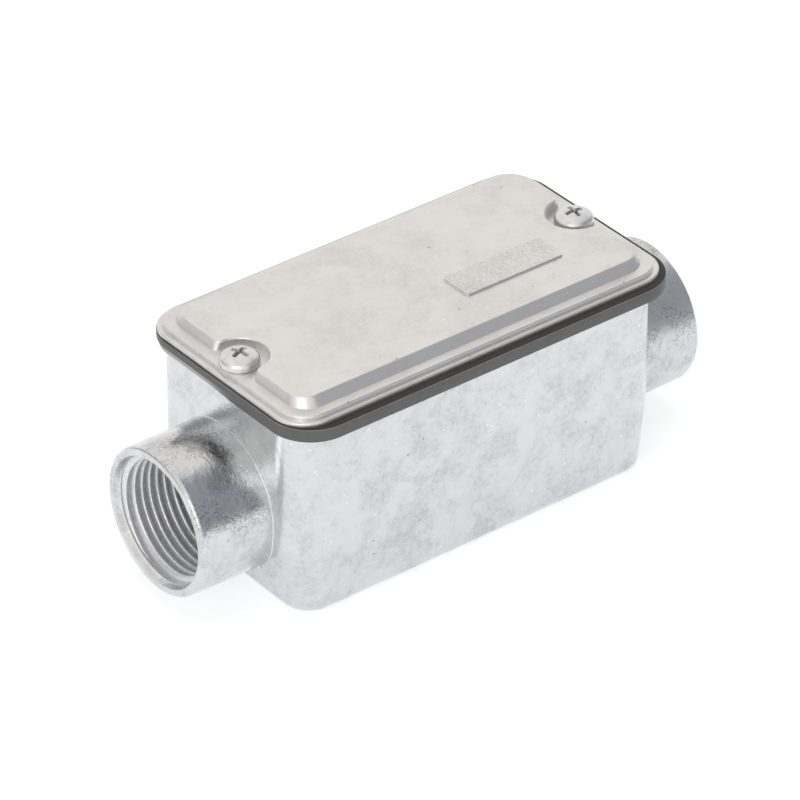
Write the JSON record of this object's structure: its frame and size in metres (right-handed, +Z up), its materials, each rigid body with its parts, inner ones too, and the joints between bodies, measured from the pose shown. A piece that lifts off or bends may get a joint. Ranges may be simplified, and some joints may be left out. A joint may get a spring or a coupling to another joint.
{
  "type": "conduit body",
  "caption": "Straight-through cast conduit body: a box with a threaded hub at each end, closed by a rubber gasket and a raised-panel cover held by screws.",
  "frame": {"origin": "middle of the flat base, on the box's centre planes", "axes": "+X along the conduit run, +Y across the box, +Z up out of the cover"},
  "size_m": [0.1254, 0.0529, 0.0504],
  "materials": {
    "cast_aluminium": "as cast, mottled satin",
    "cover_aluminium": "as cast, satin, a little warmer",
    "black_rubber": "matt dark grey",
    "zinc_steel": "bright zinc plate"
  },
  "bodies": {
    "base": {"body_casting": "cast_aluminium", "gasket": "black_rubber"},
    "cover": {"cover_plate": "cover_aluminium"},
    "front_screw": {"cover_screw_front": "zinc_steel"},
    "rear_screw": {"cover_screw_rear": "zinc_steel"}
  },
  "joints": [
    {"name": "cover_lift", "type": "slide", "parent": "base", "child": "cover", "axis": [0, 0, 1], "range_m": [0, 0.045]},
    {"name": "front_screw_turn", "type": "hinge", "parent": "cover", "child": "front_screw", "pos_m": [-0.0418, 0, 0.04772], "axis": [0, 0, 1], "continuous": true},
    {"name": "rear_screw_turn", "type": "hinge", "parent": "cover", "child": "rear_screw", "pos_m": [0.0418, 0, 0.04772], "axis": [0, 0, 1], "continuous": true}
  ]
}
